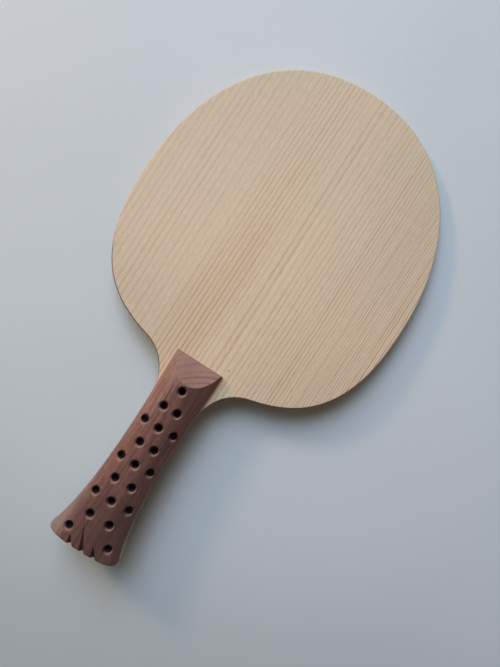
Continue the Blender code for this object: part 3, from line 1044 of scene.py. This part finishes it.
# Floor that carries the blade on the rear slab's highest edge and on the tip
floor = {
    "radii": (0.90, 0.6, 0.4, 0.2),
    "segments": 64,
    "gap": 0.00002,
    "fade": (0.24, 0.81),
    "colour": (0.513, 0.580, 0.645, 1.0),
    "speckle": (0.488, 0.555, 0.620, 1.0),
    "speckleRange": (0.35, 0.65),
    "grit": (2.0, 0.5, 0.9),       # detail, roughness and scale
    "clouds": (2.0, 0.5, 0.008),
    "speckleShares": (0.35, 0.65),
    "beyond": (0.25, -0.9),        # direction across and along, away from the head
    "paintedFloorShade": (65.0, 190.0, 1.0, 0.82),       # painted shade: a little darker beyond the butt, where less light reaches
    "cleared": (230.0, 420.0),
    "roughness": 0.85,
    "specular": 0.2,
    "backdrop": (0.52, 0.56, 0.60, 1.0),
}
apexY = handleTopY - (slab["thickness"] - slab["endHeight"]) / math.tan(slab["bevelAngle"])
floorSlope = (slabTop - stackTop) / (tipY - apexY)


def floorSheet(bm):
    skin(bm, [[(x, y, (y - apexY) * floorSlope - slabTop - floor["gap"])
               for x, y in circlePoints(radius, floor["segments"])] for radius in floor["radii"]], openStart=True)


def floorMaterial(look):
    material, tree, shader, place, point = newMaterial("floorPaper")
    x, y = parted(tree, point)[:2]
    grit = noise(tree, point, *look["grit"])
    clouds = noise(tree, point, *look["clouds"])
    speckles = weighted(tree, (grit, clouds), look["speckleShares"])
    colour = blend(tree, between(tree, speckles, *look["speckleRange"]), look["colour"], look["speckle"])
    # painted shade on the floor beyond the butt
    beyond = weighted(tree, (x, y), look["beyond"])
    tone = calc(tree, "MAXIMUM", between(tree, beyond, *look["paintedFloorShade"]), between(tree, beyond, *look["cleared"]))
    fill(tree, shader.inputs["Base Color"], dimmed(tree, colour, tone))
    shader.inputs["Roughness"].default_value = look["roughness"]
    shader.inputs["Specular IOR Level"].default_value = look["specular"]
    away = vectorMath(tree, "LENGTH", place["Object"])["Value"]
    clear = addNode(tree, "BsdfTransparent").outputs[0]
    faded = between(tree, away, *look["fade"])
    mixed = addNode(tree, "MixShader", {0: faded, 1: shader.outputs[0], 2: clear}).outputs[0]
    fill(tree, tree.nodes["Material Output"].inputs["Surface"], mixed)
    return material


ground = addPiece("ground", floorSheet)
ground.data.materials.append(floorMaterial(floor))

# A window beyond the tip, open sky above it, a smaller warm window beyond the left side, and a weak warm room
lamps = {
    "window": {"direction": (-0.575, 0.818), "elevation": 46.0, "distance": 1.1, "size": 0.58, "power": 1.45,
               "colour": (1.0, 0.778, 0.944)},
    "openSky": {"direction": (-0.70, 0.714), "elevation": 47.0, "distance": 1.5, "size": 1.25, "power": 6.9,
                "colour": (0.6225, 0.907, 1.0)},
    "sideWindow": {"direction": (-0.951, 0.305), "elevation": 26.6, "distance": 1.15, "size": 0.17, "power": 1.80,
                   "colour": (1.0, 0.573, 0.227)},
}
lampSpread = math.radians(100.0)
room = {
    "colour": (0.17, 0.118, 0.075, 1.0),
    "strength": 1.0,
}
for name, lamp in lamps.items():
    data = bpy.data.lights.new(name, "AREA")
    data.shape = "SQUARE"
    data.size = lamp["size"]
    data.energy = lamp["power"]
    data.color = lamp["colour"]
    data.spread = lampSpread
    light = bpy.data.objects.new(name, data)
    bpy.context.scene.collection.objects.link(light)
    elevation = math.radians(lamp["elevation"])
    flat = Vector((*lamp["direction"], 0.0)).normalized() * math.cos(elevation)
    light.location = (flat + Vector((0.0, 0.0, math.sin(elevation)))) * lamp["distance"]
    light.rotation_euler = light.location.to_track_quat("Z", "Y").to_euler()

world = bpy.data.worlds.new("room")
bpy.context.scene.world = world
world.use_nodes = True
tree = world.node_tree
tree.nodes.clear()
ambient = addNode(tree, "Background", {"Color": room["colour"], "Strength": room["strength"]}).outputs[0]
backdrop = addNode(tree, "Background", {"Color": floor["backdrop"], "Strength": 1.0}).outputs[0]
rays = addNode(tree, "LightPath").outputs
seen = calc(tree, "MAXIMUM", rays["Is Glossy Ray"], rays["Is Transmission Ray"])
seen = calc(tree, "MAXIMUM", rays["Is Camera Ray"], seen)
mixed = addNode(tree, "MixShader", {0: seen, 1: ambient, 2: backdrop}).outputs[0]
addNode(tree, "OutputWorld", {"Surface": mixed})
print("floor and light placed")

# Camera where the photograph was taken from, nearly straight above
view = {
    "place": (0.010206, -0.002511, 0.248486),
    "turn": (math.radians(0.0577), math.radians(-0.6703), math.radians(32.827)),
    "lens": 27.04,
    "sensor": 36.0,
    "clipStart": 0.01,
}
cameraData = bpy.data.cameras.new("camera")
cameraData.lens = view["lens"]
cameraData.sensor_width = view["sensor"]
cameraData.clip_start = view["clipStart"]
camera = bpy.data.objects.new("camera", cameraData)
camera.location = view["place"]
camera.rotation_euler = Euler(view["turn"])
bpy.context.scene.collection.objects.link(camera)
bpy.context.scene.camera = camera
bpy.context.scene.view_settings.view_transform = "Standard"
print("camera placed")

bpy.context.view_layer.update()
